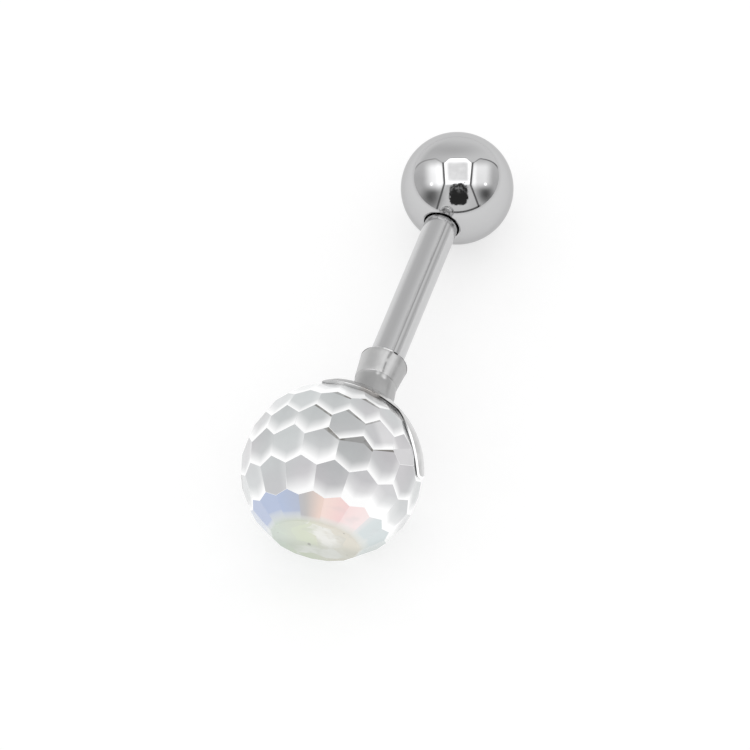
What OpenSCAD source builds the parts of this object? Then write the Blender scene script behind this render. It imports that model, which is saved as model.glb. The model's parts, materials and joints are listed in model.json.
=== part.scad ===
// Tragus stud: a faceted crystal bead in a thin dish, a collar, a straight post
// and a polished ball that screws on the post's end.
// It lies on the XY plane as it would on a table: the bead on one of its facets, the ball on its underside.
// The post runs along +Y and dips a little towards the ball, because the ball is the smaller of the two.
// All sizes are in millimetres.

/* [Crystal bead] */
// Width of the bead across two facets that face each other
bead_flats = 5.95; // [4:0.05:8]
// Facets in one row round the bead
row_count = 16; // [12:2:20]
// Angle that the bead was glued askew, seen from above
bead_yaw = -5.3; // [-12:0.1:12]
// How far each corner between the facets is blunted
corner_blunt = 0.025; // [0.01:0.005:0.05]
// Height of the ground flat at the open end, from the middle, as a share of the bead's radius
open_flat = 0.885; // [0.86:0.005:0.92]
// Height of the ground flat under the dish, from the middle, as a share of the bead's radius
seat_flat = 0.78; // [0.76:0.005:0.84]

/* [Dish] */
// Room between the bead's sharpest corner, before it is blunted, and the dish
dish_gap = 0.01; // [0.01:0.005:0.05]
// Wall of the dish, pressed from thin sheet
dish_wall = 0.06; // [0.05:0.01:0.15]
// Height of the dish's rim over the middle of the bead
dish_rim = 1.85; // [1.6:0.05:2]
// Width of the two tapered claws that reach further down the bead's sides, where they leave the rim
claw_w = 2.2; // [1.6:0.1:3]
// Height of the claws' tips over the middle of the bead
claw_tip = 0.4; // [0.1:0.05:0.8]
// How far the right claw sits up from level, in degrees round the post, and the left one down
claw_turn = 12; // [-20:1:20]
// Start and end of the dish's bare side, where its rim is cut back, in degrees round the post from the right
bare_from = 107; // [100:1:120]
bare_to = 167; // [150:1:170]
// Height of the rim over the middle of the bead on that side
bare_rim = 2.6; // [2.2:0.05:2.7]
// How far the neck was soldered off the middle of the dish
neck_off = 0.24; // [0:0.01:0.25]

/* [Neck and collar] */
// Neck diameter
neck_d = 1.34; // [1.2:0.02:1.5]
// Neck length, from the dish to the collar
neck_len = 0.92; // [0.6:0.02:1.2]
// Solder fillet at the foot of the neck
neck_fillet = 0.16; // [0.05:0.01:0.3]
// Collar diameter at its open rim
collar_d = 1.68; // [1.56:0.02:2]
// Collar diameter at its foot
collar_foot_d = 1.5; // [1.36:0.02:1.6]
// Collar length
collar_len = 1.04; // [0.8:0.02:1.5]
// Rounding of the collar's open rim
collar_round = 0.09; // [0.02:0.01:0.1]

/* [Post] */
// Post diameter, 16 gauge
post_d = 1.2; // [1:0.05:1.6]
// Length between the collar and the screw ball
wear_len = 6.5; // [5:0.5:10]
// Length of the post's thinner seat in the collar and neck
seat_len = 1.3; // [1:0.1:1.5]
// Diameter of that seat
seat_d = 0.8; // [0.6:0.05:0.85]
// How far the full diameter reaches into the collar, and into the ball
shoulder = 0.12; // [0.05:0.01:0.15]
// Rise of the thread from one turn to the next
thread_pitch = 0.25; // [0.2:0.01:0.3]
// Turns of the thread, all of them inside the screw ball
thread_turns = 8; // [6:1:9]
// Depth of the thread
thread_depth = 0.15; // [0.1:0.01:0.18]
// Chamfer at the tip
tip_chamfer = 0.12; // [0.05:0.01:0.2]

/* [Screw ball] */
// Ball diameter
ball_d = 4; // [3:0.5:5]
// Diameter of the countersink where it meets the ball's surface
sink_d = 1.4; // [1.36:0.02:1.6]
// Radial room between the post and the holes that it goes into
hole_gap = 0.02; // [0.01:0.005:0.05]
// Room past the tip of the post
end_gap = 0.12; // [0.05:0.01:0.3]

/* [Hidden] */
$fn = 96;

// The rows of facets from the dish to the open end: latitude in degrees, and turn as a share of one facet.
// A whole share puts a facet straight under the bead, a half share puts an edge there.
LATITUDE = 0;
TURN = 1;
ROWS = [
    [43.8, 0.57],
    [24.2, 0.07],
    [9.3, 0.63],
    [-9.1, 0],
    [-30.4, 0.51],
    [-50.9, -0.04]
];
// The row whose first facet lies flat on the table
REST_ROW = 3;
LAST_ROW = len(ROWS) - 1;

bead_r = bead_flats / 2;
ball_r = ball_d / 2;
post_r = post_d / 2;

// The bead's own axis rises until the resting facet faces straight down
bead_rise = -ROWS[REST_ROW][LATITUDE];
bead_axis = [sin(bead_yaw) * cos(bead_rise), cos(bead_yaw) * cos(bead_rise), sin(bead_rise)];
bead_down = [sin(bead_yaw) * sin(bead_rise), cos(bead_yaw) * sin(bead_rise), -cos(bead_rise)];
bead_side = cross(bead_axis, bead_down);

// Unit normal of one facet
function facet(row, i) = let (
    lat = ROWS[row][LATITUDE],
    lon = (i + ROWS[row][TURN]) * 360 / row_count
) sin(lat) * bead_axis + cos(lat) * (cos(lon) * bead_down + sin(lon) * bead_side);

// The point where three planes meet, each given by its unit normal and its distance from the middle
function meet(a, b, c, da, db, dc) =
    (da * cross(b, c) + db * cross(c, a) + dc * cross(a, b)) / (a * cross(b, c));

// Corner m of the zigzag between a row and the next, counted in half facets round the bead.
// The odd row has a facet straight below the bead, and the even row has an edge there.
function zigzag_corner(row, m) = let (
    odd_row = row % 2 == 1 ? row : row + 1,
    even_row = row % 2 == 1 ? row + 1 : row,
    i = floor(m / 2)
) m % 2 == 0
    ? meet(facet(odd_row, i), facet(even_row, i - 1), facet(even_row, i), bead_r, bead_r, bead_r)
    : meet(facet(even_row, i), facet(odd_row, i), facet(odd_row, i + 1), bead_r, bead_r, bead_r);

// Corner between a ground flat and two neighbours in the row beside it
function flat_corner(row, i, normal, height) =
    meet(normal, facet(row, i), facet(row, i + 1), height * bead_r, bead_r, bead_r);

zigzag_len = 2 * row_count;
sharp_corners = concat(
    [for (i = [0 : row_count - 1]) flat_corner(0, i, bead_axis, seat_flat)],
    [for (row = [0 : LAST_ROW - 1]) for (m = [0 : zigzag_len - 1]) zigzag_corner(row, m)],
    [for (i = [0 : row_count - 1]) flat_corner(LAST_ROW, i, -bead_axis, open_flat)]
);

// Places of the corners in that list
function seat_at(i) = (i + row_count) % row_count;
function zigzag_at(row, m) = row_count + row * zigzag_len + (m + zigzag_len) % zigzag_len;
function open_at(i) = row_count + LAST_ROW * zigzag_len + (i + row_count) % row_count;

// The middle of facet i of a row on the zigzags beside it
function facet_middle(row, i) = 2 * i + (row % 2 == 1 ? 0 : 1);
function upper_corners(row, i) = let (m = facet_middle(row, i))
    row == 0
        ? [seat_at(i - 1), seat_at(i)]
        : [for (k = [-1 : 1]) zigzag_at(row - 1, m + k)];
function lower_corners(row, i) = let (m = facet_middle(row, i))
    row == LAST_ROW
        ? [open_at(i), open_at(i - 1)]
        : [for (k = [1 : -1 : -1]) zigzag_at(row, m + k)];
sharp_faces = concat(
    [[for (i = [row_count - 1 : -1 : 0]) seat_at(i)]],
    [for (row = [0 : LAST_ROW]) for (i = [0 : row_count - 1])
        concat(upper_corners(row, i), lower_corners(row, i))],
    [[for (i = [0 : row_count - 1]) open_at(i)]]
);
corner_r = max([for (c = sharp_corners) norm(c)]);

// The next and the previous corner of each face that meets at corner p
function neighbours(p) = [
    for (f = sharp_faces) for (k = [0 : len(f) - 1]) if (f[k] == p)
        [f[(k + 1) % len(f)], f[(k + len(f) - 1) % len(f)]]
];

// The three corners that the edges from corner p lead to, in order round it
edges_from = [
    for (p = [0 : len(sharp_corners) - 1]) let (near = neighbours(p), first = near[0])
        [first[0], first[1], [for (pair = near) if (pair[0] != first[0] && pair[0] != first[1]) pair[0]][0]]
];

// Where the small blunt at corner p crosses the edge to corner q, and its place in the list of points
function blunt_corner(p, q) = let (
    from = sharp_corners[p],
    edge = sharp_corners[q] - from
) from - edge * corner_blunt * norm(from) / (edge * from);
function blunt_at(p, q) = 3 * p + search(q, edges_from[p])[0];

bead_points = [for (p = [0 : len(edges_from) - 1]) for (q = edges_from[p]) blunt_corner(p, q)];
bead_faces = concat(
    [for (f = sharp_faces) [
        for (k = [0 : len(f) - 1])
            let (before = f[(k + len(f) - 1) % len(f)], after = f[(k + 1) % len(f)])
                each [blunt_at(f[k], before), blunt_at(f[k], after)]
    ]],
    [for (p = [0 : len(edges_from) - 1]) [3 * p, 3 * p + 1, 3 * p + 2]]
);

// Heights along the post, counted from the middle of the bead
dish_in_r = corner_r + dish_gap;
dish_out_r = dish_in_r + dish_wall;
collar_foot = dish_out_r + neck_len;
collar_top = collar_foot + collar_len;
bar_foot = collar_top - shoulder;
seat_foot = bar_foot - seat_len;
ball_mouth = collar_top + wear_len;
ball_middle = ball_mouth + sqrt(pow(ball_r, 2) - pow(sink_d / 2, 2));
bar_top = ball_mouth + shoulder;
tip = bar_top + thread_turns * thread_pitch + tip_chamfer;

// The dip of the post, from the heights of the two middles over the table
post_dip = asin((bead_r - ball_r) / ball_middle);
// The origin is on the table under the middle of the whole length
bead_y = -(ball_middle * cos(post_dip) + ball_r - bead_r) / 2;

// Anything at the middle of the bead, as it lies on the table
module at_bead() {
    translate([-neck_off / 2, bead_y, bead_r]) children();
}

// Anything drawn along +Z, turned to the way that the post runs
module along_post() {
    rotate([-90 - post_dip, 0, 0]) children();
}

// Anything drawn along +Z from the middle of the bead, moved onto the post's own axis
module on_post_axis() {
    at_bead() translate([neck_off, 0, 0]) along_post() children();
}

// A clear bead ground flat at both ends, with staggered rows of facets between and its corners a little blunt
module crystal_ball() {
    color("#dfe6ee", 0.75) at_bead() polyhedron(points = bead_points, faces = bead_faces, convexity = 4);
}

// The part of the round shell that is kept, seen from the side: all above the rim, and the claws' tongue
module dish_outline() {
    translate([-dish_out_r, dish_rim]) square([2 * dish_out_r, dish_out_r]);
    polygon([
        [-claw_w / 2, dish_rim + 0.1],
        for (t = [180:10:360]) [claw_w / 2 * cos(t), dish_rim + (dish_rim - claw_tip) * sin(t)],
        [claw_w / 2, dish_rim + 0.1]
    ]);
}

// The wedge in which the rim is cut back
module bare_side() {
    reach = 2 * dish_out_r;
    linear_extrude(bare_rim)
        polygon([[0, 0], for (a = [bare_from, (bare_from + bare_to) / 2, bare_to]) reach * [cos(a), -sin(a)]]);
}

// The thin cap over the bead's upper third, with a claw down each side
module dish_shell() {
    difference() {
        intersection() {
            difference() {
                sphere(r = dish_out_r);
                sphere(r = dish_in_r);
            }
            rotate([90, 0, 90 - claw_turn]) translate([0, 0, -dish_out_r]) linear_extrude(2 * dish_out_r)
                dish_outline();
        }
        bare_side();
    }
}

// Neck, its solder fillet and the tapered collar with a rounded rim
module neck_and_collar() {
    neck_r = neck_d / 2;
    foot = dish_in_r - dish_wall;
    fillet_top = dish_out_r + neck_fillet;
    translate([0, 0, foot]) {
        cylinder(r = neck_r, h = collar_foot - foot);
        cylinder(r1 = neck_r + neck_fillet + dish_wall, r2 = neck_r, h = fillet_top - foot);
    }
    collar_r = collar_d / 2;
    straight_len = collar_len - collar_round;
    rotate_extrude() {
        polygon([
            [0, collar_foot],
            [collar_foot_d / 2, collar_foot],
            [collar_r, collar_foot + straight_len],
            [0, collar_foot + straight_len]
        ]);
        translate([collar_r - collar_round, collar_foot + straight_len]) circle(r = collar_round);
        translate([0, collar_foot + straight_len - collar_round])
            square([collar_r - collar_round, 2 * collar_round]);
    }
}

// Dish, neck and collar: turned steel, soldered into one piece, with a stepped blind hole for the post
module dish_collar() {
    color("#c3c5c8") difference() {
        union() {
            at_bead() along_post() dish_shell();
            on_post_axis() neck_and_collar();
        }
        at_bead() sphere(r = dish_in_r);
        on_post_axis() {
            translate([0, 0, seat_foot - end_gap])
                cylinder(r = seat_d / 2 + hole_gap, h = seat_len + end_gap);
            translate([0, 0, bar_foot - hole_gap])
                cylinder(r = post_r + hole_gap, h = collar_len);
        }
    }
}

// A straight round bar, turned down where it is pressed into the collar, with sharp thread ridges at its tip
module post() {
    seat_r = seat_d / 2;
    thread_root = post_r - thread_depth;
    color("#bfc1c4") on_post_axis() rotate_extrude() polygon(concat(
        [[0, seat_foot], [seat_r, seat_foot], [seat_r, bar_foot], [post_r, bar_foot]],
        [for (turn = [0 : thread_turns - 1]) each [
            [post_r, bar_top + turn * thread_pitch],
            [thread_root, bar_top + (turn + 0.5) * thread_pitch]
        ]],
        [[post_r, tip - tip_chamfer], [post_r - tip_chamfer, tip], [0, tip]]
    ));
}

// A polished ball with a countersunk blind hole for the post's tip
module screw_ball() {
    hole_r = post_r + hole_gap;
    sink_r = sink_d / 2;
    sink_depth = sink_r - hole_r;
    color("#c9cbce") on_post_axis() difference() {
        translate([0, 0, ball_middle]) sphere(r = ball_r);
        translate([0, 0, ball_mouth - ball_r])
            cylinder(r = hole_r, h = ball_r + tip - ball_mouth + end_gap);
        translate([0, 0, ball_mouth - sink_depth])
            cylinder(r1 = sink_r + sink_depth, r2 = hole_r, h = 2 * sink_depth);
    }
}

crystal_ball();
dish_collar();
post();
screw_ball();
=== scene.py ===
import json
import math
import random

import bmesh
import bpy
import numpy as np
from mathutils import Matrix, Vector, noise


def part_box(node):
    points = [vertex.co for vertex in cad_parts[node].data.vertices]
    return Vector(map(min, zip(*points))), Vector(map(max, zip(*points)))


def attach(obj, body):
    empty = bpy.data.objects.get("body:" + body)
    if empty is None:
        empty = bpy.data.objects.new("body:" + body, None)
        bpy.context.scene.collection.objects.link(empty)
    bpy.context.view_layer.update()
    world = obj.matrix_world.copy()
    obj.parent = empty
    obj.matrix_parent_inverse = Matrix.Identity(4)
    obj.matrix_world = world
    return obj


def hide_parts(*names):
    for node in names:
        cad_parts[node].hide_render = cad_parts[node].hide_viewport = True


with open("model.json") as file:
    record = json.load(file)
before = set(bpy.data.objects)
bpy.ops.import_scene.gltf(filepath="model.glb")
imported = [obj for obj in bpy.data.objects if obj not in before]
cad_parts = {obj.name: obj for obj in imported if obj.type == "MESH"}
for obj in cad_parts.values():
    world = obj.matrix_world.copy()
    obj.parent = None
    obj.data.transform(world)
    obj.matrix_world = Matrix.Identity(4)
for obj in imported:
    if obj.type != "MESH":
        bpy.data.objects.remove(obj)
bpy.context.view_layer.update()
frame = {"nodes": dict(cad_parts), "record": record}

# The camera looks down on the stud from in front and a little to the right.
# Its long lens stands 16 cm away, and it was held a few degrees askew.
MM = 0.001
view_turn = math.radians(21.559)
view_height = math.radians(53.719)
view_lean = math.radians(4.742)
view_away = 159.404 * MM
view_aim = Vector((-0.055, -1.686, 2.5)) * MM

level = Vector((math.cos(view_turn), math.sin(view_turn), 0))
to_lens = Vector((
    math.sin(view_turn) * math.cos(view_height),
    -math.cos(view_turn) * math.cos(view_height),
    math.sin(view_height),
))
lens_right = math.cos(view_lean) * level - math.sin(view_lean) * to_lens.cross(level)
lens_up = to_lens.cross(lens_right)

lens = bpy.data.cameras.new("camera")
lens.sensor_width = 36
lens.lens = 223.456
lens.clip_start = 0.001
lens.clip_end = 10
camera = bpy.data.objects.new("camera", lens)
camera.matrix_world = (
    Matrix.Translation(view_aim + view_away * to_lens)
    @ Matrix((lens_right, lens_up, to_lens)).transposed().to_4x4()
)
bpy.context.scene.collection.objects.link(camera)
bpy.context.scene.camera = camera
bpy.context.scene.view_settings.view_transform = "Standard"


# The tabletop is a sheet of matt white card, lit from all round.
# It lies flat under the stud and isn't part of it.
class Tone:
    """One socket in a finish's node tree, so that its maths is written as plain expressions."""

    def __init__(self, tree, socket=None):
        self.tree = tree
        self.socket = socket

    def node(self, kind, settings, sockets, out=0):
        """One output of a new node. Its settings are set first, then its sockets are filled or linked."""
        made = self.tree.nodes.new(kind)
        for name, value in settings.items():
            if name == "stops":
                ramp = made.color_ramp
                while len(ramp.elements) < len(value):
                    ramp.elements.new(1)
                for stop, (place, colour) in zip(ramp.elements, value):
                    stop.position = place
                    stop.color = (*colour, 1)
            else:
                setattr(made, name, value)
        for name, value in sockets.items():
            if isinstance(value, Tone):
                self.tree.links.new(value.socket, made.inputs[name])
            else:
                made.inputs[name].default_value = value
        return Tone(self.tree, made.outputs[out])

    def math(self, operation, *others):
        return self.node("ShaderNodeMath", {"operation": operation}, dict(enumerate((self, *others))))

    def __add__(self, other):
        return self.math("ADD", other)

    def __sub__(self, other):
        return self.math("SUBTRACT", other)

    def __rsub__(self, other):
        return self.node("ShaderNodeMath", {"operation": "SUBTRACT"}, {0: other, 1: self})

    def __mul__(self, other):
        return self.math("MULTIPLY", other)

    def __truediv__(self, other):
        return self.math("DIVIDE", other)

    __radd__ = __add__
    __rmul__ = __mul__


def fade(value, none_at, full_at):
    """From 0 to 1 in a soft curve, as the value goes from one place to the other."""
    if none_at > full_at:
        return 1 - fade(value, full_at, none_at)
    sockets = {"Value": value, "From Min": none_at, "From Max": full_at}
    return value.node("ShaderNodeMapRange", {"interpolation_type": "SMOOTHSTEP"}, sockets)


def mix(share, first, second):
    """A colour between two, by a share from 0 to 1."""
    def rgba(colour):
        return colour if isinstance(colour, Tone) else (*colour, 1)
    return share.node("ShaderNodeMix", {"data_type": "RGBA"}, {0: share, 6: rgba(first), 7: rgba(second)}, 2)


def grain(at, scale, detail=3, rough=0.5):
    """Soft noise from 0 to 1, with its blots a share of a millimetre wide."""
    sockets = {"Vector": at, "Scale": scale / MM, "Detail": detail, "Roughness": rough}
    return at.node("ShaderNodeTexNoise", {}, sockets, "Fac")


def place(paint):
    """Where a point of the piece is, in metres from the origin."""
    return paint.node("ShaderNodeTexCoord", {}, {}, "Object")


def finish(name, constants):
    """A new finish: its material, its shader and a tone to start its maths from."""
    material = bpy.data.materials.new(name)
    material.use_nodes = True
    shader = material.node_tree.nodes["Principled BSDF"]
    for socket, value in constants.items():
        shader.inputs[socket].default_value = value
    return material, shader, Tone(material.node_tree)


def feed(shader, **sockets):
    """Links tones to the shader's sockets, whose names are written with _ for a space."""
    for name, tone in sockets.items():
        tone.tree.links.new(tone.socket, shader.inputs[name.replace("_", " ")])


def bumped(height, depth):
    """The surface's direction over a relief that is depth millimetres deep."""
    return height.node("ShaderNodeBump", {}, {"Height": height, "Distance": depth * MM}, "Normal")


def object_of(name, mesh, material, sharp=32):
    """A scene object from a finished bmesh, smooth but for its edges over sharp degrees."""
    for edge in mesh.edges:
        edge.smooth = edge.calc_face_angle(0) < math.radians(sharp)
    for face in mesh.faces:
        face.smooth = True
    data = bpy.data.meshes.new(name)
    mesh.to_mesh(data)
    mesh.free()
    data.materials.append(material)
    made = bpy.data.objects.new(name, data)
    bpy.context.scene.collection.objects.link(made)
    return made


tent_r = 0.6
dim_from = 16
dim_to = 70
CARD_LIT = (0.54, 0.54, 0.54)
CARD_DIM = (0.4, 0.4, 0.4)
CARD_PLAIN = (0.5, 0.5, 0.5)
CARD_FLECK = (0.52, 0.52, 0.52)

card_finish, card_shader, paint = finish("matt_card", {
    "Roughness": 0.85, "Specular IOR Level": 0.2, "Emission Strength": 1,
})
at = place(paint)
fleck = grain(at, 0.8)
from_origin = at.node("ShaderNodeVectorMath", {"operation": "LENGTH"}, {0: at}, "Value") / MM
feed(card_shader, Emission_Color=mix(fade(from_origin, dim_from, dim_to), CARD_LIT, CARD_DIM))
feed(card_shader, Base_Color=mix(fleck, CARD_PLAIN, CARD_FLECK))
feed(card_shader, Normal=bumped(fleck, 0.004))
sheet = bmesh.new()
bmesh.ops.create_circle(sheet, cap_ends=True, segments=96, radius=tent_r)
card = object_of("card", sheet, card_finish)

# The light tent is a white cloth dome round the stud, with one bright window ahead and one at each side.
# Its seams, its darker lower panels and the lens's own opening show in the polished steel.
# It was pitched with its mouth to the lens, and stays as it is when the camera moves.
ball_low, ball_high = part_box("screw_ball")
ball_mid = (ball_low + ball_high) / 2
ball_r = (ball_high.x - ball_low.x) / 2

WALL = 0.93
WALL_SHADE = 0.72
LEFT_SHADE = 0.21
HORIZON = 0.98
PANEL = 0.66
PANEL_DARK = 0.12
WINDOW = 2.4
WINDOW_MID = 1.25
SIDE_WINDOW = 1.3
SEAM = 0.14
OPENING = 0.035
GLINT = 1.6
MOUTH_MID = -0.012
MOUTH_HALF = 0.752
MOUTH_HEAD = 0.515
MOUTH_FOOT_HALF = 0.76
MOUTH_FOOT = 0.48
LEFT_SEAM = -0.232
RIGHT_SEAM = 0.228
SEAM_WIDE = 0.016
LENS_U = 0.0165
LENS_V = -0.126
LENS_HALF_WIDE = 0.165
LENS_HALF_HIGH = 0.195

tent_finish, tent_shader, paint = finish("tent_cloth", {
    "Base Color": (0, 0, 0, 1), "Specular IOR Level": 0, "Roughness": 1, "Emission Strength": 1,
})


def vector(operation, first, second, out=0):
    """Vector maths on tones and plain triples."""
    start = first if isinstance(first, Tone) else second
    return start.node("ShaderNodeVectorMath", {"operation": operation}, {0: first, 1: second}, out)


def along(at, direction):
    """How far a place reaches in a direction."""
    return vector("DOT_PRODUCT", at, tuple(direction), "Value")


def normalised(at):
    """A direction, one unit long."""
    return at.node("ShaderNodeVectorMath", {"operation": "NORMALIZE"}, {0: at})


# The cloth is drawn as the screw ball mirrors it to the lens: u runs right and v runs up over the ball
outward = normalised(vector("SUBTRACT", place(paint), tuple(ball_mid)))
mirror = normalised(vector("ADD", outward, tuple(to_lens)))
lift = along(outward, (0, 0, 1))
u = along(mirror, lens_right)
v = along(mirror, lens_up)


def pane(left, right, foot, head, soft):
    """1 inside a soft-edged pane, 0 outside it. A side may be a number or a tone."""
    def step(value, side):
        return fade(value - side, -soft, soft)
    return step(u, left) * (1 - step(u, right)) * step(v, foot) * (1 - step(v, head))


def spot(at_u, at_v, wide, high, soft):
    """1 in a soft oval spot."""
    reach = ((u - at_u) * (1 / wide)).math("POWER", 2) + ((v - at_v) * (1 / high)).math("POWER", 2)
    return fade(reach.math("SQRT"), 1 + soft, 1 - soft)


def near(value, at, none_off, full_off):
    """1 where the value is at a place, and 0 where it is none_off or more away from it."""
    return fade((value - at).math("ABSOLUTE"), none_off, full_off)


def line(value, at, wide):
    """1 on a thin line where the value is at a place."""
    return near(value, at, wide * 1.6, wide * 0.5)


# The tent's mouth is squarish at its top, with a dip at each seam, and round at its foot
left_seam = LEFT_SEAM - (0.07 - v).math("MAXIMUM", 0) * 0.3 - (v - 0.07).math("MAXIMUM", 0) * 0.05
right_seam = RIGHT_SEAM + (0.04 - v).math("MAXIMUM", 0) * 0.4 + (v - 0.04).math("MAXIMUM", 0) * 0.09
dips = near(u, left_seam, 0.14, 0) + near(u, right_seam, 0.14, 0)
upper = ((u - MOUTH_MID) * (1 / MOUTH_HALF)).math("ABSOLUTE").math("POWER", 4.5)
upper = upper + ((v + dips * 0.08) * (1 / MOUTH_HEAD)).math("MAXIMUM", 0).math("POWER", 4.5)
lower = ((u - MOUTH_MID) * (1 / MOUTH_FOOT_HALF)).math("ABSOLUTE").math("POWER", 2.2)
lower = lower + (v * (-1 / MOUTH_FOOT)).math("MAXIMUM", 0).math("POWER", 2.2)
above = fade(v, -0.02, 0.02)
mouth = upper * above + lower * (1 - above)
inside = fade(mouth, 1.06, 0.94)
head_edge = line(mouth, 1, 0.06) * fade(v, 0.3, 0.42) * (0.45 + fade(u, 0.2, 0.4) * 0.3)
foot_edge = fade(lift, 0.08, 0.055) * fade(u, -0.14, -0.06) * fade(u, 0.43, 0.37) * fade(v, -0.2, -0.3)
mouth_edge = head_edge + foot_edge * 0.85

# The wall is shaded over the mouth and at its left, and bright where it meets the card
wall = WALL - spot(-0.02, 0.66, 0.32, 0.1, 0.95) * (WALL - WALL_SHADE) - fade(u, 0.1, -0.8) * LEFT_SHADE
wall = wall + (HORIZON - wall) * fade(lift, 0.35, 0.0)

# Inside the mouth are the panels, the windows, the seams between them and the lens's ragged opening
cloth = grain(mirror, 0.006, 3)
specks = grain(mirror, 0.022, 3, 0.7)
panels = PANEL + spot(0, -0.22, 0.36, 0.32, 0.6) * 0.25 + fade(v, 0.1, 0.4) * 0.12
dark = spot(-0.45, -0.17, 0.15, 0.16, 0.9) + spot(0.49, -0.12, 0.12, 0.13, 0.9)
panels = panels - dark * (PANEL - PANEL_DARK)
side_left = pane(-0.52, left_seam - 0.01, 0.0, 0.42, 0.1) * (1.45 + fade(u, -0.42, -0.26) * 0.95)
side_right = pane(right_seam + 0.01, 0.56, 0.02, 0.42, 0.08) * (1.05 + fade(u, 0.36, 0.27))
middle = pane(left_seam + 0.012, right_seam - 0.012, 0.05, 0.53, 0.022)
pale = pane(-0.185, 0.195, 0.1, 0.45, 0.05) * (0.65 + cloth * 0.7)
light = panels + (side_left + side_right) * (SIDE_WINDOW - PANEL) + (cloth - 0.5) * 0.15
light = light * (1 - middle) + (WINDOW - pale * (WINDOW - WINDOW_MID)) * middle
seams = (line(u, left_seam, SEAM_WIDE) + line(u, right_seam, SEAM_WIDE)) * fade(v, -0.5, -0.4)
light = light * (1 - seams) + seams * SEAM
ragged = (specks - 0.5) * 0.1
opening = ((u - LENS_U + ragged) * (1 / LENS_HALF_WIDE)).math("ABSOLUTE").math("POWER", 3.4)
opening = opening + ((v - LENS_V + ragged) * (1 / LENS_HALF_HIGH)).math("ABSOLUTE").math("POWER", 3.4)
opening = fade(opening, 1.2, 0.8)
lens_light = OPENING + fade(v, -0.14, 0.03) * fade(specks, 0.45, 0.62) * 0.35
light = light * (1 - opening) + lens_light * opening
glints = spot(-0.46, 0.06, 0.022, 0.022, 0.6) + spot(0.49, 0.06, 0.022, 0.022, 0.6)
light = light + glints * GLINT
light = wall * (1 - inside) + light * inside
light = light * (1 - mouth_edge)
feed(tent_shader, Emission_Color=light)

dome = bmesh.new()
bmesh.ops.create_icosphere(dome, subdivisions=5, radius=tent_r)
bmesh.ops.bisect_plane(
    dome, geom=dome.verts[:] + dome.edges[:] + dome.faces[:],
    plane_co=(0, 0, 0), plane_no=(0, 0, 1), clear_inner=True,
)
tent = object_of("tent", dome, tent_finish)
tent.visible_camera = False
tent.visible_diffuse = False

# The soft light falls evenly from all round, and the cloth itself shows only in reflections
world = bpy.data.worlds.new("room")
world.use_nodes = True
world.node_tree.nodes["Background"].inputs["Color"].default_value = (0.93, 0.93, 0.93, 1)
bpy.context.scene.world = world

# The bead is clear pressed glass, cut with six rows of sixteen staggered facets and ground flat at both ends.
# A thin rainbow coating was baked on it, which shows most where the last row meets the open end.
# It is held in the dish by two claws and a drop of glue.
EDGE_ROUND = 0.01
BLUNT_AREA = 0.2
WELD = 1e-7
ROW_STEP = math.radians(5)
FAR = 9.0
LIT_GLASS = (0.96, 0.96, 0.96)
LIT_ROW = (0.97, 0.95, 0.94)
WEDGE_SHADE = (0.12, 0.11, 0.09)
FOOT_SHADE_GREY = (0.4, 0.44, 0.4)
FLAT_GREEN = (0.58, 0.67, 0.59)
FLAT_MOSS = (0.64, 0.69, 0.53)
FLAT_CREAM = (0.72, 0.68, 0.58)
FLAT_GREY = (0.55, 0.57, 0.53)
FLAT_CLOUD = (0.9, 0.9, 0.87)
FLAT_SPECK = (0.35, 0.35, 0.3)
FLAT_RIM = (0.78, 0.79, 0.75)
RAINBOW = (
    (0.0, (0.6, 0.64, 0.62)), (0.2, (0.58, 0.63, 0.68)), (0.29, (0.44, 0.51, 0.7)),
    (0.42, (0.46, 0.54, 0.73)), (0.465, (0.47, 0.51, 0.62)), (0.49, (0.55, 0.53, 0.52)),
    (0.512, (0.88, 0.69, 0.61)), (0.545, (0.97, 0.77, 0.71)), (0.575, (0.95, 0.69, 0.68)),
    (0.62, (0.98, 0.8, 0.79)), (0.655, (0.97, 0.87, 0.87)), (0.68, (0.7, 0.76, 0.77)),
    (0.76, (0.63, 0.7, 0.71)), (1.0, (0.6, 0.64, 0.62)),
)

# The CAD bead's 98 cut faces: all its larger faces, without the tiny blunts at their corners
pressed = bmesh.new()
pressed.from_mesh(frame["nodes"]["crystal_ball"].data)
bmesh.ops.remove_doubles(pressed, verts=pressed.verts, dist=WELD)
bmesh.ops.dissolve_limit(pressed, angle_limit=math.radians(0.5), verts=pressed.verts, edges=pressed.edges)
pressed.normal_update()
planes = [(face.normal.copy(), face.calc_center_median() / MM, face.calc_area())
          for face in pressed.faces if face.calc_area() > BLUNT_AREA * MM ** 2]
pressed.free()
planes.sort(key=lambda plane: plane[2])
seat_plane = max(planes[-2:], key=lambda plane: plane[1].y)
touching = np.array([[*normal, 1] for normal, _, _ in planes[:-2]])
reach = np.array([normal.dot(point) for normal, point, _ in planes[:-2]])
*middle_found, bead_r = np.linalg.lstsq(touching, reach, rcond=None)[0]
bead_mm = Vector(middle_found)
bead_mid = bead_mm * MM
bead_run = seat_plane[0]
bead_under = Vector((0, 0, -1))
bead_under = (bead_under - bead_under.dot(bead_run) * bead_run).normalized()
bead_side = bead_run.cross(bead_under)

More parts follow.
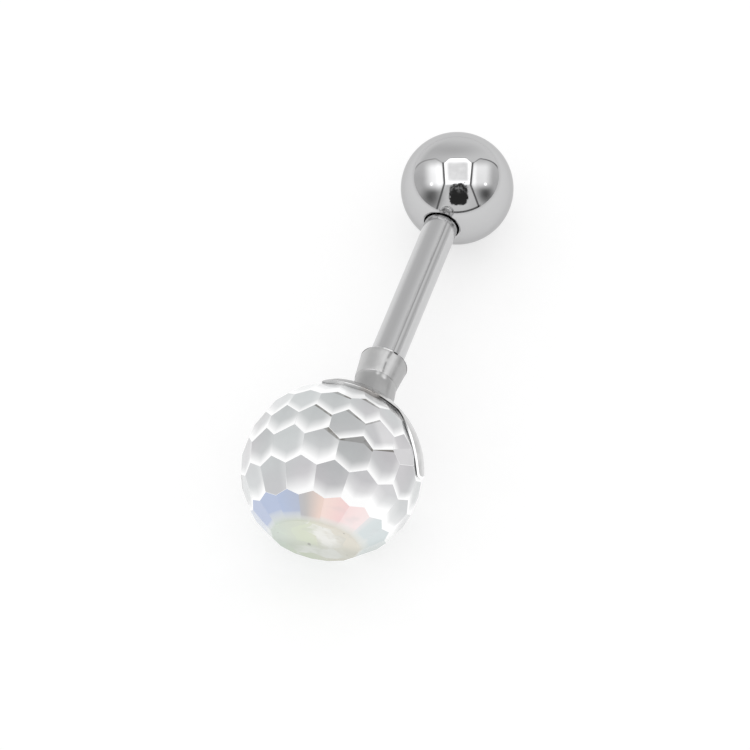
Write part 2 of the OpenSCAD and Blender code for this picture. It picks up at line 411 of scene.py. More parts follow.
# Each facet is ground off a round blank, in millimetres from the bead's middle
cut = bmesh.new()
bmesh.ops.create_icosphere(cut, subdivisions=1, radius=bead_r * 1.6)
for normal, point, _ in planes:
    ground = bmesh.ops.bisect_plane(
        cut, geom=cut.verts[:] + cut.edges[:] + cut.faces[:],
        plane_co=point - bead_mm, plane_no=normal, clear_outer=True,
    )
    rim = [edge for edge in ground["geom_cut"] if isinstance(edge, bmesh.types.BMEdge)]
    bmesh.ops.contextual_create(cut, geom=rim)
bmesh.ops.translate(cut, vec=bead_mm, verts=cut.verts)
bmesh.ops.scale(cut, vec=(MM, MM, MM), verts=cut.verts)
bmesh.ops.remove_doubles(cut, verts=cut.verts, dist=WELD)
bmesh.ops.recalc_face_normals(cut, faces=cut.faces)
cut.normal_update()
flats = sorted(cut.faces, key=lambda face: face.calc_area())[-2:]


def row_angle(face):
    """How far a face looks towards the dish, up from the bead's widest part."""
    return math.asin(max(-1, min(1, face.normal.dot(bead_run))))


def facet_turn(face):
    """How far round the bead a face is from its underside."""
    return math.atan2(face.normal.dot(bead_side), face.normal.dot(bead_under))


def edge_lines(face):
    """The facet's edges as lower, upper and side lists of (point, inward direction), left to right."""
    kinds = {"lower": [], "upper": [], "side": []}
    middle = face.calc_center_median()
    for edge in face.edges:
        other = [f for f in edge.link_faces if f is not face][0]
        start, end = (vert.co.copy() for vert in edge.verts)
        inward = (end - start).cross(face.normal).normalized()
        if inward.dot(middle - start) < 0:
            inward = -inward
        rise = row_angle(other) - row_angle(face)
        kind = "side" if abs(rise) < ROW_STEP else "upper" if rise > 0 else "lower"
        swing = (facet_turn(other) - facet_turn(face) + math.pi) % (2 * math.pi) - math.pi
        kinds[kind].append((swing, start, inward))
    return {kind: [(start, inward) for _, start, inward in sorted(found, key=lambda f: f[0])]
            for kind, found in kinds.items()}


# Where a wedge of painted shade shows under a facet's upper edges: row's angle, turn, and depth at the right
# and left.
# On the bead's hidden side, three facets in ten have one at random.
HIDDEN_WEDGE = 0.12
WEDGES = (
    (0.42, 0.504, 0.13, 0), (0.42, 0.567, 0.13, 0), (0.16, 0.477, 0.08, 0), (0.16, 0.539, 0.12, 0),
    (0.16, 0.602, 0, 0.06), (-0.16, 0.5, 0.16, 0), (-0.16, 0.562, 0.2, 0.3), (-0.16, 0.625, 0, 0.09),
)
random.seed(11)
cuts = []
for face in sorted(cut.faces, key=lambda face: (round(row_angle(face), 2), facet_turn(face))):
    lines = {"lower": [], "upper": [], "side": []} if face in flats else edge_lines(face)
    own_row = row_angle(face)
    own_turn = facet_turn(face) / (2 * math.pi) % 1
    found = [(at_right, at_left) for row_at, turn_at, at_right, at_left in WEDGES
             if abs(own_row - row_at) < 0.03 and abs(own_turn - turn_at) < 0.01]
    hidden_side = not 0.3 < own_turn < 0.8
    wedges = found[0] if found else (HIDDEN_WEDGE * (hidden_side and random.random() < 0.3), 0)
    cuts.append((face.normal.copy(), lines, own_turn, wedges, random.random(), random.random()))

bmesh.ops.bevel(cut, geom=cut.edges[:], offset=EDGE_ROUND * MM, segments=2, profile=0.5, affect="EDGES")
bmesh.ops.recalc_face_normals(cut, faces=cut.faces)
cut.normal_update()
lower_at = cut.loops.layers.float_vector.new("lower")
upper_at = cut.loops.layers.float_vector.new("upper")
wedge_at = cut.loops.layers.float_vector.new("wedge")
facet_at = cut.loops.layers.float_vector.new("facet")


def distances(kinds, co):
    """Millimetres from a corner to the first and the last edge of a kind, or FAR where there is none."""
    if not kinds:
        return FAR, FAR
    return [(co - start).dot(inward) / MM for start, inward in (kinds[0], kinds[-1])]


for face in cut.faces:
    facet = max(cuts, key=lambda known: known[0].dot(face.normal))
    lines, own_turn, wedges, glow, tone = facet[1:]
    for loop in face.loops:
        loop[lower_at] = (*distances(lines["lower"], loop.vert.co), own_turn)
        loop[upper_at] = (*distances(lines["upper"], loop.vert.co), row_angle(face))
        loop[wedge_at] = (*wedges, 0)
        loop[facet_at] = (glow, tone, distances(lines["side"], loop.vert.co)[1])

glass_finish, glass_shader, paint = finish("coated_glass", {
    "Roughness": 0.08, "IOR": 1.54, "Specular IOR Level": 0.5,
    "Coat Weight": 0.6, "Coat Roughness": 0.03, "Coat IOR": 1.6, "Emission Strength": 1,
})


def attribute(paint, name):
    """A corner attribute's three values."""
    split = paint.node("ShaderNodeAttribute", {"attribute_name": name}, {}, "Vector")
    return [split.node("ShaderNodeSeparateXYZ", {}, {0: split}, axis) for axis in "XYZ"]


at = place(paint)
from_mid = vector("SUBTRACT", at, tuple(bead_mid))
turn = along(from_mid, bead_side).math("ARCTAN2", along(from_mid, bead_under)) / (2 * math.pi)
turn = turn.math("FRACT")
lower_left, lower_right, own_turn = attribute(paint, "lower")
upper_left, upper_right, row = attribute(paint, "upper")
wedge_right, wedge_left = attribute(paint, "wedge")[:2]
glow_share, tone_share, side_right = attribute(paint, "facet")
foot = lower_left.math("MINIMUM", lower_right)

# Each facet is grey glass with a painted highlight that turns it white towards its two lower edges and over
# the top rows; the left facets are painted a little lighter
low_rows = fade(row, -0.3, -0.5)
high_rows = fade(row, 0.3, 0.4)
cloudy = grain(at, 0.7, 3)
softness = (0.26 + 0.3 * glow_share + 0.12 * low_rows) * (0.7 + 0.6 * cloudy)
glow = 1 - (foot / softness).math("MINIMUM", 1).math("MAXIMUM", 0)
broad = 0.08 + 0.2 * glow_share + low_rows * fade(own_turn, 0.55, 0.59) * 0.6
glow = glow.math("POWER", 1.3) + (1 - foot / 0.9).math("MAXIMUM", 0) * broad
side_glow = fade(side_right, 0.3, 0) * (0.05 + 0.25 * tone_share)
shine = (glow + side_glow + fade(row, 0.5, 0.6) * 0.45).math("MINIMUM", 1)
haze = grain(at, 1.1, 4, 0.6)
left_light = fade(own_turn, 0.5, 0.42) * 0.05 * (1 + high_rows)
grey = 0.425 + tone_share * 0.05 + haze * 0.11 + low_rows * 0.07 + high_rows * 0.05 + left_light
plain = paint.node("ShaderNodeCombineXYZ", {}, {0: grey, 1: grey * 1.002, 2: grey * 1.008})
faint = mix(fade(grain(at, 0.4, 1), 0.3, 0.7), (0.97, 1.01, 1.01), (1.01, 0.985, 1.015))
plain = paint.node("ShaderNodeVectorMath", {"operation": "MULTIPLY"}, {0: plain, 1: faint})
skin = mix(shine, plain, LIT_GLASS)

# The open flat runs from pale green to cream, with grey patches, whitish clouds and a few specks in it
clouds = grain(at, 0.55, 4, 0.6)
sway = at.node("ShaderNodeTexNoise", {}, {"Vector": at, "Scale": 1.2 / MM}, "Color")
sway = vector("MULTIPLY", sway, (0.5 * MM, 0.5 * MM, 0.5 * MM))
cell = at.node("ShaderNodeTexVoronoi", {}, {"Vector": vector("ADD", at, sway), "Scale": 1.15 / MM}, "Color")
cell = cell.node("ShaderNodeSeparateXYZ", {}, {0: cell}, "X")
rightward = along(from_mid, bead_side) / -MM
flat_tint = mix(fade(rightward + clouds, -1.06, 0.14), FLAT_GREEN, FLAT_MOSS)
flat_tint = mix(fade(rightward + clouds, 0.24, 1.14), flat_tint, FLAT_CREAM)
flat_tint = mix(fade(cell, 0.2, 0.8) * 0.35, flat_tint, FLAT_GREY)
flat_tint = mix(fade(clouds, 0.5, 0.64) * fade(cell, 0.3, 0.6) * 0.75, flat_tint, FLAT_CLOUD)
flat_tint = mix(fade(grain(at, 3.5, 1), 0.74, 0.78), flat_tint, FLAT_SPECK)

# The rainbow of the last row follows the turn round the bead, and fades into the flat
off_middle = (turn - own_turn + 0.5).math("FRACT") - 0.5
tint_turn = (own_turn + off_middle * 0.55).math("FRACT")
rainbow = paint.node("ShaderNodeValToRGB", {"stops": RAINBOW}, {"Fac": tint_turn}, "Color")
last_row = fade(row, -0.7, -0.75)
open_end = fade(row, -1.3, -1.4)
streaks = fade(grain(at, 1.4, 2), 0.5, 0.7)
near_flat = (1 - foot / (0.15 + tone_share * 0.3)).math("MAXIMUM", 0).math("MINIMUM", 1)
pale_band = mix(near_flat.math("POWER", 2), FLAT_RIM, flat_tint)
tinted = last_row * (1 - streaks * 0.35 * fade(own_turn, 0.5, 0.6))
skin = mix(tinted, skin, rainbow)
# Painted highlight: the lit facets of the last row turn whiter along their lower right edges
lit_side = fade(lower_right, 0.35, 0.0) * fade(own_turn, 0.5, 0.54) * fade(own_turn, 0.74, 0.7)
skin = mix(last_row * lit_side * (0.35 + tone_share * 0.4), skin, LIT_ROW)
skin = mix(last_row * near_flat.math("POWER", 0.6), skin, pale_band)
skin = mix(open_end, skin, flat_tint)


def wedge(depth, edge, other_edge):
    """1 in a wedge of painted shade that is deep at the facet's top corner and tapers off along its upper
    edge.
    """
    return fade(depth * (1 - other_edge * 1.1) - edge, -0.01, 0.015) * fade(depth, 0.02, 0.04)


# Painted shade: dark slivers under the facets' upper edges, patchy, and none on the last row
sliver_shade = wedge(wedge_right, upper_right, upper_left)
sliver_shade = sliver_shade.math("MAXIMUM", wedge(wedge_left, upper_left, upper_right))
sliver_shade = sliver_shade * (0.38 + fade(grain(at, 2.2, 2), 0.4, 0.6) * 0.45)
skin = mix(sliver_shade * (1 - last_row), skin, WEDGE_SHADE)

# The lower front of the bead, by the card, is painted in a greenish-grey shade, and its coat is thinner there
front_foot = Vector((0.1, -0.4, -1)).normalized()
foot_shade = fade(along(from_mid, front_foot) / (bead_r * MM), 0.4, 0.65)
skin = mix(foot_shade * 0.4, skin, FOOT_SHADE_GREY)
feed(glass_shader, Base_Color=skin, Roughness=0.06 + haze * 0.06, Coat_Weight=0.6 - foot_shade * 0.6)
# Painted light: the facets' painted highlights also glow a little of their own
feed(glass_shader, Emission_Color=shine * (1 - last_row) * (1 - sliver_shade) * 0.1)

bead = object_of("cut_bead", cut, glass_finish, sharp=2)
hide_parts("crystal_ball")
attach(bead, "stud")

# The dish is thin steel sheet, pressed to the bead's curve, with two claws down its sides.
# Its rim is cut back at the upper left, and the soldering flame left a brown tint along it at the top.
post_mount = frame["record"]["mounts"][0]
post_mid = Vector(post_mount["pos_m"])
post_run = Vector(post_mount["axis"]).normalized()
wear_len = 6.5
across_x = Vector((1, 0, 0))
across_y = post_run.cross(across_x)
upright = Matrix((across_x, across_y, post_run)).transposed()

dish_in = 2.965
dish_out = 3.1291
RIM = 1.85
BARE_RIM = 2.6
BARE_MID = 141
BARE_HALF = 31
bare_press = 0.085
GAP_MID = 51
GAP_HALF = 15
claw_w = 2.6
claw_tip = 0.12
claw_turn = math.radians(12)
DISH_SIDES = 384
DISH_RINGS = 36
SHEET_DULL = (0.5, 0.5, 0.5)
SHEET_BRIGHT = (0.66, 0.66, 0.66)
SHEET_SMUDGE = (0.35, 0.35, 0.35)
SHEET_SHADE_BAND = (0.17, 0.17, 0.17)
FLAME_TINT = (0.17, 0.13, 0.1)
GAP_SHADE = (0.012, 0.012, 0.012)
CLAW_EDGE_HIGHLIGHT = (0.95, 0.95, 0.95)


def degrees_past(round_turn, mid):
    """Degrees round the post from a place to a turn, from -180 to 180. Places count from +X over the top."""
    return (math.degrees(-round_turn) - mid + 180) % 360 - 180


def sheet_reaches(polar, round_turn):
    """Whether the dish's sheet covers a direction from the bead's middle."""
    height = dish_out * math.cos(polar)
    cut_back = max(0, min(1, (BARE_HALF - abs(degrees_past(round_turn, BARE_MID))) / 7))
    rim_height = RIM + (BARE_RIM - RIM) * cut_back ** 2 * (3 - 2 * cut_back)
    if height >= rim_height:
        return True
    sideways = dish_out * math.sin(polar) * abs(math.sin(round_turn + claw_turn))
    down_claw = (RIM - height) / (RIM - claw_tip)
    return down_claw < 1 and (2 * sideways / claw_w) ** 1.4 + max(0, down_claw) ** 1.4 < 1 and cut_back == 0


def rim_angle(round_turn):
    """How far from the post's direction the sheet ends."""
    covered, bare = math.radians(25), math.radians(92)
    for _ in range(22):
        half_way = (covered + bare) / 2
        if sheet_reaches(half_way, round_turn):
            covered = half_way
        else:
            bare = half_way
    return covered


def closed_rings(mesh, rings):
    """Joins rings of vertices one to the next. A ring of one vertex is a pole."""
    for first, second in zip(rings, rings[1:]):
        for k in range(max(len(first), len(second))):
            pair = [first[k % len(first)], first[(k + 1) % len(first)],
                    second[(k + 1) % len(second)], second[k % len(second)]]
            mesh.faces.new(list(dict.fromkeys(pair)))
    bmesh.ops.recalc_face_normals(mesh, faces=mesh.faces)


# The sheet's section runs along its outer side, round its edge and back along its inner side.
# It is pressed in where the rim is cut back. Its inner side stops a little short of the rim at the gap
# that shows at the upper right, and from there down along the right claw's upper edge.
dish = bmesh.new()
to_rim = dish.verts.layers.float.new("to_rim")
section = [(dish_out, k / DISH_RINGS) for k in range(1, DISH_RINGS)]
section += [(dish_out, 1 - 0.012), (dish_out - 0.004, 1 - 0.004), (dish_out - 0.016, 1)]
section += [(dish_out - 0.05, 1 - 0.002), (dish_in + 0.02, 1 - 0.006), (dish_in, 1 - 0.01)]
section += [(dish_in, k / DISH_RINGS) for k in range(DISH_RINGS - 3, 0, -1)]
ends = []
for k in range(DISH_SIDES):
    round_turn = 2 * math.pi * k / DISH_SIDES
    waver = noise.noise(Vector((math.cos(round_turn), math.sin(round_turn), 3)) * 2.2)
    from_bare = abs(degrees_past(round_turn, BARE_MID))
    pressed_in = bare_press * max(0, min(1, (BARE_HALF + 8 - from_bare) / 14))
    past_gap = degrees_past(round_turn, GAP_MID)
    held_back = 1 if -GAP_MID < past_gap < 0 else max(0, 1 - (past_gap / GAP_HALF) ** 4)
    ends.append((round_turn, rim_angle(round_turn) - 0.006 * (1 + waver), pressed_in, held_back))
rings = [[dish.verts.new(bead_mid + upright @ Vector((0, 0, dish_out)) * MM)]]
rings[0][0][to_rim] = 2
for radius, share in section:
    ring = []
    for round_turn, end, pressed_in, held_back in ends:
        part = min(share, 1 - 0.05 * held_back) if radius < dish_out - 0.055 else share
        reach = radius - pressed_in * part ** 2 * (radius - dish_in) / (dish_out - dish_in)
        ring.append(dish.verts.new(bead_mid + upright @ Vector((
            reach * math.sin(part * end) * math.cos(round_turn),
            reach * math.sin(part * end) * math.sin(round_turn),
            reach * math.cos(part * end),
        )) * MM))
        ring[-1][to_rim] = (1 - part) * end * radius
    rings.append(ring)
rings.append([dish.verts.new(bead_mid + upright @ Vector((0, 0, dish_in)) * MM)])
closed_rings(dish, rings)

sheet_finish, sheet_shader, paint = finish("pressed_sheet", {"Metallic": 1, "Emission Strength": 1})
at = place(paint)
from_mid = vector("SUBTRACT", at, tuple(bead_mid))
rim_away = paint.node("ShaderNodeAttribute", {"attribute_name": "to_rim"}, {}, "Fac")
round_dish = (along(from_mid, across_y) * -1).math("ARCTAN2", along(from_mid, across_x)) * (180 / math.pi)
blots = grain(at, 0.7, 4)
fine = grain(at, 2, 4)
scuffs = at.node("ShaderNodeMapping", {}, {"Vector": at, "Scale": (6, 1, 1)})
scuffs = grain(scuffs, 1.5, 2)

# Along the rim are a band of painted shade over the top and the left, a little rougher too, the flame's tint,
# painted shade in the gap at the upper right, and a painted highlight, glowing a little, on the right claw's
# edge
dull_shade_band = fade(rim_away - blots * 0.12, -0.03, 0.02) * fade(rim_away - fine * 0.3, 0.85, 0.5)
dull_shade_band = dull_shade_band * fade(round_dish, 68, 84)
gap_shade = fade(rim_away, 0.016, 0.008) * fade(round_dish, 35, 40) * fade(round_dish, 66, 60)
edge_light = fade(rim_away, 0.08, 0.055) * fade(round_dish, 37, 31) * fade(round_dish, -80, -60)
flame = fade(rim_away - fine * 0.25, 0.2, 0.0) * fade(round_dish, 56, 62) * fade(round_dish, 82, 74)

skin = mix(fade(blots, 0.3, 0.7), SHEET_DULL, SHEET_BRIGHT)
skin = mix(fade(fine, 0.45, 0.65) * 0.25, skin, SHEET_SMUDGE)
skin = mix(dull_shade_band * 0.85, skin, SHEET_SHADE_BAND)
skin = mix(flame * 0.45, skin, FLAME_TINT)
skin = mix(gap_shade, skin, GAP_SHADE)
skin = mix(edge_light, skin, CLAW_EDGE_HIGHLIGHT)
# The claw's edge highlight also glows a little of its own
feed(sheet_shader, Base_Color=skin, Metallic=1 - gap_shade * 0.8 - edge_light, Emission_Color=edge_light * 0.4)
feed(sheet_shader, Roughness=0.1 + scuffs * 0.1 + dull_shade_band * 0.1, Normal=bumped(blots + fine * 0.3, 0.02))

dish_piece = object_of("claw_dish", dish, sheet_finish)
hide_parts("dish_collar")
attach(dish_piece, "stud")

# The collar is turned steel, a little wider at its mouth, on a short neck that is soldered to the dish.
# The solder ran down one side of the neck, so the collar's foot shows only on the other side.
collar_top = -wear_len / 2
collar_len = 1.04
collar_foot = collar_top - collar_len
collar_r = 0.84
collar_foot_r = 0.75
collar_round = 0.09
foot_round = 0.045
taper_from = 0.05
collar_mouth_r = 0.625
mouth_round = 0.03
mouth_depth = 0.14
neck_r = 0.69
flare_r = 0.86
SIDES = 144
NEAR_TOP = math.radians(15.9)
solder_turn = math.radians(1.6)
PIT_TURN = 0.047
COLLAR_PLAIN = (0.55, 0.55, 0.55)
COLLAR_SMEAR = (0.64, 0.64, 0.64)
COLLAR_SHADE = (0.36, 0.36, 0.36)
COLLAR_NECK_SHADE = (0.26, 0.26, 0.26)
RUN_DARK = (0.1, 0.1, 0.1)
SOLDER_LIT = (1, 1, 1)
RIM_DARK = (0.015, 0.015, 0.015)


def arc(mid_r, mid_h, radius, start, end, steps):
    """Points round a rounded edge, from one direction to another, in degrees."""
    turns = [math.radians(start + (end - start) * k / steps) for k in range(steps + 1)]
    return [(mid_r + radius * math.cos(t), mid_h + radius * math.sin(t)) for t in turns]


def turned(outline, sides):
    """A closed piece turned about the post's line. The outline's points are radius and height in
    millimetres, from pole to pole, and a point may be a function of the turn that gives both."""
    mesh = bmesh.new()
    rings = []
    for point in outline:
        places = []
        for k in range(sides):
            round_turn = 2 * math.pi * k / sides
            radius, height = point(round_turn) if callable(point) else point
            places.append((radius * math.cos(round_turn), radius * math.sin(round_turn), height))
            if radius == 0:
                break
        rings.append([mesh.verts.new(post_mid + upright @ Vector(p) * MM) for p in places])
    closed_rings(mesh, rings)
    return mesh


bead_below = (bead_mid - post_mid) / MM
bead_off = Vector((bead_below.dot(across_x), bead_below.dot(across_y)))
bead_drop = bead_below.dot(post_run)


def on_dish(radius, round_turn, sunk):
    """The height at which a ring of the neck's foot meets the dish."""
    reach = Vector((radius * math.cos(round_turn), radius * math.sin(round_turn))) - bead_off
    return bead_drop + math.sqrt((dish_out - sunk) ** 2 - reach.length_squared)


def solder_side(round_turn):
    """1 where the solder ran, 0 on the far side."""
    return 0.5 + 0.5 * math.cos(round_turn - solder_turn)


def fillet_top(round_turn):
    """Where the solder fillet ends on the neck: its radius, and how far it has risen off the dish."""
    run = solder_side(round_turn) ** 2
    return neck_r + 0.02 + 0.12 * run, 0.2 + 0.2 * run


def flare(share, sunk=0.0):
    """One ring of the solder fillet, from the dish at 0 to the neck at 1."""
    def ring(round_turn):
        wide, rise = fillet_top(round_turn)
        at = Vector((4 * math.cos(round_turn), 4 * math.sin(round_turn), 2 * share))
        lumps = 0.02 * noise.noise(at)
        radius = wide + (flare_r - wide) * (1 - share) ** 2 + lumps
        return radius, on_dish(radius, round_turn, sunk) + rise * share
    return ring


def neck(share):
    """One ring of the neck, from the fillet at 0 to the collar's foot at 1."""
    def ring(round_turn):
        foot_r, rise = fillet_top(round_turn)
        top_r = collar_foot_r - 0.002 - 0.05 * (1 - solder_side(round_turn)) ** 12
        radius = foot_r + (top_r - foot_r) * share ** 2
        start = on_dish(radius, round_turn, 0) + rise
        return radius, start + (collar_foot - start) * share
    return ring


# From the dish: the solder fillet, the neck, the rounded foot, the taper, the rounded top and the mouth
collar_outline = [(0, bead_drop + dish_out - 0.02), flare(0, 0.03), flare(0)]
collar_outline += [flare(k / 6) for k in range(1, 7)]
collar_outline += [neck(k / 4) for k in range(1, 5)]
collar_outline += arc(collar_foot_r - foot_round, collar_foot + foot_round, foot_round, -60, -5, 5)
taper_len = collar_len - collar_round - taper_from
widening = collar_r - collar_foot_r
collar_outline += [(collar_foot_r + widening * k / 8, collar_foot + taper_from + taper_len * k / 8)
                   for k in range(1, 8)]
collar_outline += arc(collar_r - collar_round, collar_top - collar_round, collar_round, 0, 90, 8)
collar_outline += arc(collar_mouth_r + mouth_round, collar_top - mouth_round, mouth_round, 90, 180, 4)
collar_outline += [(collar_mouth_r, collar_top - mouth_depth), (0, collar_top - mouth_depth)]

collar_finish, collar_shader, paint = finish("turned_collar", {"Metallic": 1})


def off_line(paint, height):
    """How far a point is from the post's line, in millimetres."""
    from_post = vector("SUBTRACT", place(paint), tuple(post_mid))
    squared = vector("DOT_PRODUCT", from_post, from_post, "Value") / MM ** 2
    return (squared - height.math("POWER", 2)).math("SQRT")


def blob(height, turn, at_height, at_turn, radius):
    """1 in a soft round spot on the collar."""
    sideways = ((turn - at_turn) * 2 * math.pi * collar_foot_r).math("POWER", 2)
    reach = ((height - at_height).math("POWER", 2) + sideways).math("SQRT")
    return fade(reach, radius * 1.5, radius * 0.2)


def round_post(paint):
    """Height along the post in millimetres, and turns round it to the right from a line near its top."""
    from_post = vector("SUBTRACT", place(paint), tuple(post_mid))
    upward = math.sin(NEAR_TOP) * across_x - math.cos(NEAR_TOP) * across_y
    rightward = math.cos(NEAR_TOP) * across_x + math.sin(NEAR_TOP) * across_y
    turn = along(from_post, rightward).math("ARCTAN2", along(from_post, upward)) / (2 * math.pi)
    return along(from_post, post_run) / MM, turn


height, turn = round_post(paint)
at = place(paint)
drawn = paint.node("ShaderNodeCombineXYZ", {}, {0: height * 2.5, 1: turn * 60, 2: 0})
streaks = paint.node("ShaderNodeTexNoise", {}, {"Vector": drawn, "Scale": 1, "Detail": 3}, "Fac")
blots = grain(at, 1.4, 4)
smears = fade(blots, 0.5, 0.68)

# The steel has painted shade on the neck under the collar's foot and towards the right, and is darker along
# two thin lines down the taper
neck_shade = fade(height + (blots - 0.5) * 0.3, collar_foot + 0.1, collar_foot - 0.1)
neck_shade = neck_shade * (0.1 + fade(turn, 0.12, 0.04) * 0.6)
run_line = near(turn, 0.016 + 0.05 * (blots - 0.5), 0.012, 0.003) * fade(grain(at, 2.4, 2), 0.38, 0.5)
run_line = run_line * fade(height, collar_foot, collar_foot + 0.1)
second = near(turn, 0.1, 0.02, 0.008) * fade(grain(at, 1.5, 2), 0.35, 0.55) * 0.5
turn_shade = fade(turn, 0.03, 0.07) * 0.25 + fade(turn, 0.08, 0.12) * 0.2 + near(turn, 0, 0.05, 0.02) * 0.15
skin = mix(smears * 0.4, COLLAR_PLAIN, COLLAR_SMEAR)
skin = mix(streaks * 0.14 + turn_shade, skin, COLLAR_SHADE)
skin = mix(neck_shade * 0.65, skin, COLLAR_NECK_SHADE)
skin = mix((run_line * 0.5 + second * 0.3).math("MINIMUM", 1), skin, RUN_DARK)

# Two blobs of solder stand on the neck with painted highlights on them, and a painted highlight lies in a
# short arc under the collar's top
lumps = blob(height, turn, collar_foot - 0.05, -0.014, 0.075) * 0.4
lumps = lumps + blob(height, turn, collar_foot - 0.08, 0.038, 0.1) * 0.55
arc_light = near(height, collar_top - 0.06, 0.045, 0.025) * near(turn, -0.01, 0.035, 0.028)
skin = mix((lumps + arc_light).math("MINIMUM", 1), skin, SOLDER_LIT)

# The top's rounded edge has painted shade in one small pit and a painted dark reflection along a line down
# each side
pit = near(turn, PIT_TURN, 0.018, 0.012) * near(height, collar_top - 0.07, 0.05, 0.035)
rim_side = fade(turn, 0.075, 0.11) * fade(turn, 0.29, 0.27)
rim_side = rim_side + fade(turn, -0.12, -0.16) * fade(turn, -0.29, -0.27)
rim_side = rim_side * fade(off_line(paint, height), collar_r - 0.05, collar_r - 0.035)
rim_start = collar_top - 0.08 - fade(turn.math("ABSOLUTE"), 0.1, 0.22) * 0.05
rim_start = rim_start - fade(turn, 0.2, 0.26) * 0.08
dark = pit.math("MAXIMUM", fade(height - rim_start, 0, 0.02) * rim_side)
skin = mix(dark, skin, RIM_DARK)
dulled = 0.28 + streaks * 0.06 + smears * 0.08 + dark * 0.6
feed(collar_shader, Base_Color=skin, Metallic=1 - dark, Roughness=dulled)
feed(collar_shader, Normal=bumped(streaks * 0.15 + blots * 0.8 + lumps, 0.018))

collar_piece = object_of("soldered_collar", turned(collar_outline, SIDES), collar_finish)
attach(collar_piece, "stud")

# The post is drawn steel bar, polished along its length, and pressed into the collar.
# A right-hand thread is cut on its far end, inside the screw ball.
post_r = 0.6
bar_foot = collar_top - mouth_depth + 0.01
bar_end = wear_len / 2 + 0.1
undercut_r = 0.46
thread_start = bar_end + 0.12
thread_pitch = 0.25
thread_end = wear_len / 2 + 2.12
tip = thread_end + 0.12
thread_r = 0.58
thread_root = 0.47
STEPS_A_TURN = 10
bar_round = 0.04
BAR_DULL = (0.55, 0.55, 0.555)
BAR_BRIGHT = (0.6, 0.6, 0.605)
BAR_SHADE = (0.25, 0.25, 0.25)
BAR_HOLE_SHADE = (0.16, 0.155, 0.15)


def thread_ring(height):
    """One ring of the thread, whose radius follows the helix round."""
    def ring(round_turn):
        share = (height / thread_pitch - round_turn / (2 * math.pi)) % 1
        ridge = 1 - abs(2 * share - 1)
        fading = min(1, (height - thread_start) / thread_pitch, (thread_end - height) / thread_pitch)
        return thread_root + (thread_r - thread_root) * min(1, 1.25 * ridge) * max(0.0, fading), height
    return ring


thread_steps = round((thread_end - thread_start) / thread_pitch * STEPS_A_TURN)
post_outline = [(0, bar_foot), (post_r, bar_foot)]
post_outline += [(post_r, collar_top + (bar_end - bar_round - collar_top) * k / 24) for k in range(25)]
post_outline += arc(post_r - bar_round, bar_end - bar_round, bar_round, 10, 90, 5)
post_outline += [(undercut_r, bar_end), (undercut_r, thread_start - 0.04), (thread_root, thread_start)]
post_outline += [thread_ring(thread_start + (thread_end - thread_start) * k / thread_steps)
                 for k in range(1, thread_steps + 1)]
post_outline += [(thread_root - 0.1, tip), (0, tip)]

bar_finish, bar_shader, paint = finish("drawn_bar", {"Metallic": 1})
height, turn = round_post(paint)
at = place(paint)
drawn = paint.node("ShaderNodeCombineXYZ", {}, {0: height * 0.6, 1: turn * 260, 2: 0})
lines = paint.node("ShaderNodeTexNoise", {}, {"Vector": drawn, "Scale": 1, "Detail": 3}, "Fac")
blots = grain(at, 0.8, 4)

# A stripe of painted shade runs along the bar near its top, with a thin darker line in it, and the end inside
# the ball has painted shade
bar_hole_shade = fade(height, wear_len / 2 + 0.05, wear_len / 2 + 0.1)
shade_stripe = fade(turn, 0.03, 0.038) * fade(turn, 0.085, 0.077)
thin_line = near(turn, 0.036, 0.007, 0.002)
skin = mix(lines, BAR_DULL, BAR_BRIGHT)
skin = mix(shade_stripe * 0.35 + thin_line * 0.4, skin, BAR_SHADE)
skin = mix(bar_hole_shade * 0.75, skin, BAR_HOLE_SHADE)
feed(bar_shader, Base_Color=skin, Roughness=0.05 + lines * 0.03 + blots * 0.05)
feed(bar_shader, Normal=bumped(lines + blots * 0.4, 0.0015))

post_piece = object_of("threaded_post", turned(post_outline, SIDES), bar_finish)
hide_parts("post")
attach(post_piece, "stud")

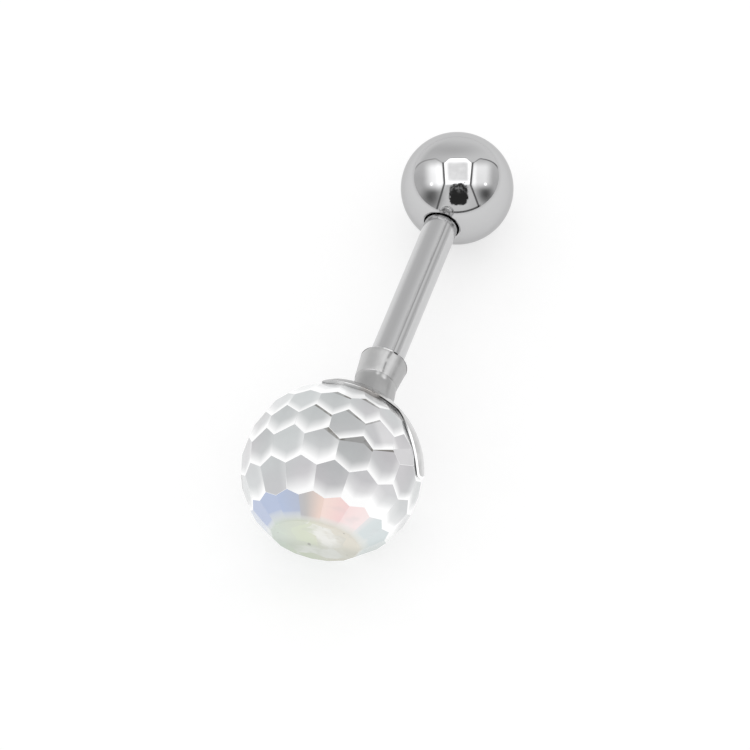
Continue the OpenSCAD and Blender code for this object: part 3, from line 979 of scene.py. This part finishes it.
# The screw ball is solid steel, tumbled to a mirror, with a countersunk hole tapped for the post.
# It is screwed on by hand, and the dark slit round the post is the mouth of its hole.
sink_r = 0.71
hole_r = 0.645
tapped_r = 0.595
sink_depth = 0.02
hole_depth = 2.36
ball_mm = ball_r / MM
ball_height = (ball_mid - post_mid).dot(post_run) / MM
BALL_SIDES = 160
BALL_DULL = (0.55, 0.55, 0.555)
BALL_BRIGHT = (0.57, 0.57, 0.575)
HOLE_SHADE = (0.03, 0.03, 0.03)
mouth_angle = math.degrees(math.asin(sink_r / ball_mm))
mouth_height = ball_height - ball_mm * math.cos(math.radians(mouth_angle))

ball_outline = [(0, mouth_height + hole_depth), (tapped_r, mouth_height + hole_depth)]
ball_outline += [(tapped_r, mouth_height + 0.35), (hole_r, mouth_height + 0.28)]
ball_outline += [(hole_r, mouth_height + sink_depth + 0.02), (hole_r + 0.006, mouth_height + sink_depth)]
ball_outline += arc(0, ball_height, ball_mm, mouth_angle - 90, 90, 110)[:-1]
ball_outline += [(0, ball_height + ball_mm)]

ball_finish, ball_shader, paint = finish("mirror_steel", {
    "Metallic": 1, "Specular Tint": (0.75, 0.75, 0.75, 1),
})
height, turn = round_post(paint)
at = place(paint)
off_axis = off_line(paint, height)
in_hole = fade(off_axis, hole_r + 0.008, hole_r - 0.004) * fade(height, ball_height + 1.5, ball_height + 1.2)

# The mirror has faint clouds and a few hairline scratches, and the hole is rougher and painted dark inside as
# shade
clouds = grain(at, 0.25, 3)
hair = at.node("ShaderNodeMapping", {}, {"Vector": at, "Rotation": (0.4, 0.7, 0.2), "Scale": (1, 14, 14)})
hair = fade(grain(hair, 0.6, 2), 0.6, 0.75)
skin = mix(clouds, BALL_DULL, BALL_BRIGHT)
skin = mix(in_hole * 0.97, skin, HOLE_SHADE)
feed(ball_shader, Base_Color=skin, Roughness=0.035 + clouds * 0.03 + hair * 0.02 + in_hole * 0.5)
feed(ball_shader, Normal=bumped(clouds, 0.002))

ball_piece = object_of("screw_ball_mirror", turned(ball_outline, BALL_SIDES), ball_finish)
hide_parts("screw_ball")
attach(ball_piece, "ball")
